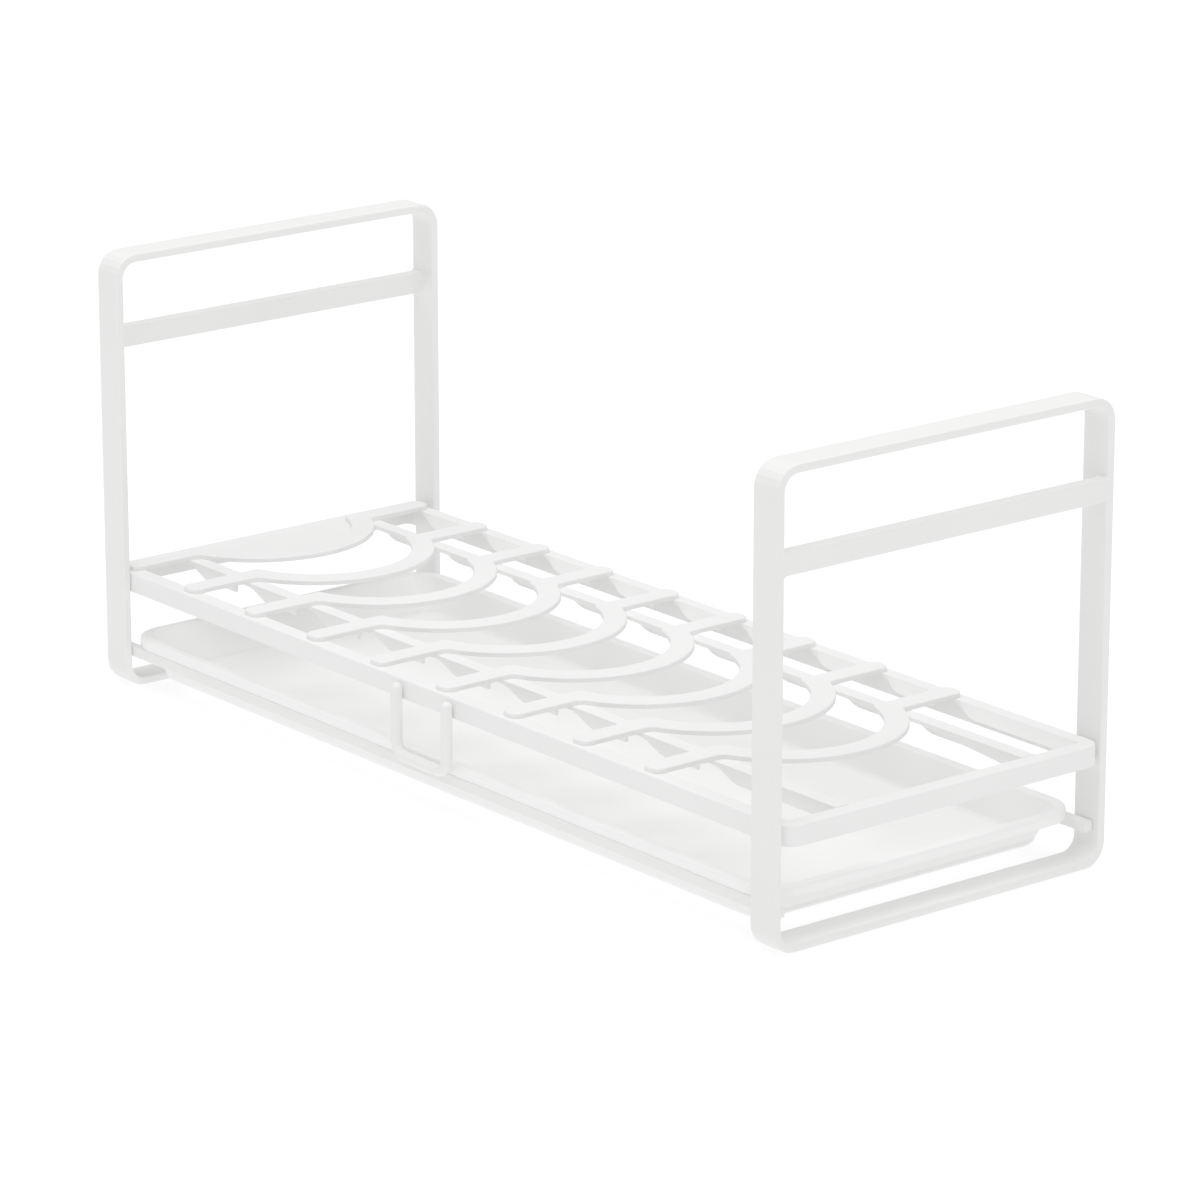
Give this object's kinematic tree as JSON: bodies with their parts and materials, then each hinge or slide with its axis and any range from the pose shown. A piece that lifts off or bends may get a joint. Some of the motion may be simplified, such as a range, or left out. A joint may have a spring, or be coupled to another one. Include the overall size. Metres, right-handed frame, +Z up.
{
  "type": "bowl rack",
  "caption": "Countertop rack of flat-bar end frames and a plate of curved crossbars that stand bowls on edge, over a slide-out drip tray.",
  "frame": {"origin": "on the ground, midway between the end frames and midway across them", "axes": "+X along the rack from the left end frame to the right one, +Y from the near to the far side, +Z up"},
  "size_m": [0.379, 0.1451, 0.161],
  "materials": {
    "crossbar_coat": "matte white powder coat",
    "end_frame_coat": "matte white powder coat",
    "grip_bar_coat": "matte white powder coat",
    "mid_rail_coat": "matte white powder coat",
    "rim_coat": "matte white powder coat",
    "stirrup_coat": "matte white powder coat",
    "tray_coat": "matte white powder coat",
    "tray_rail_coat": "matte white powder coat"
  },
  "bodies": {
    "rack": {"left_end_frame": "end_frame_coat", "right_end_frame": "end_frame_coat", "left_grip_bar": "grip_bar_coat", "right_grip_bar": "grip_bar_coat", "rack_rim": "rim_coat", "near_mid_rail": "mid_rail_coat", "far_mid_rail": "mid_rail_coat", "crossbar_1": "crossbar_coat", "crossbar_2": "crossbar_coat", "crossbar_3": "crossbar_coat", "crossbar_4": "crossbar_coat", "crossbar_5": "crossbar_coat", "crossbar_6": "crossbar_coat", "crossbar_7": "crossbar_coat", "crossbar_8": "crossbar_coat", "crossbar_9": "crossbar_coat", "near_tray_rail": "tray_rail_coat", "far_tray_rail": "tray_rail_coat", "side_stirrup": "stirrup_coat"},
    "tray": {"drip_tray": "tray_coat"}
  },
  "joints": [
    {"name": "tray_slide", "type": "slide", "parent": "rack", "child": "tray", "axis": [1, 0, 0], "range_m": [-0.34, 0.34]}
  ]
}
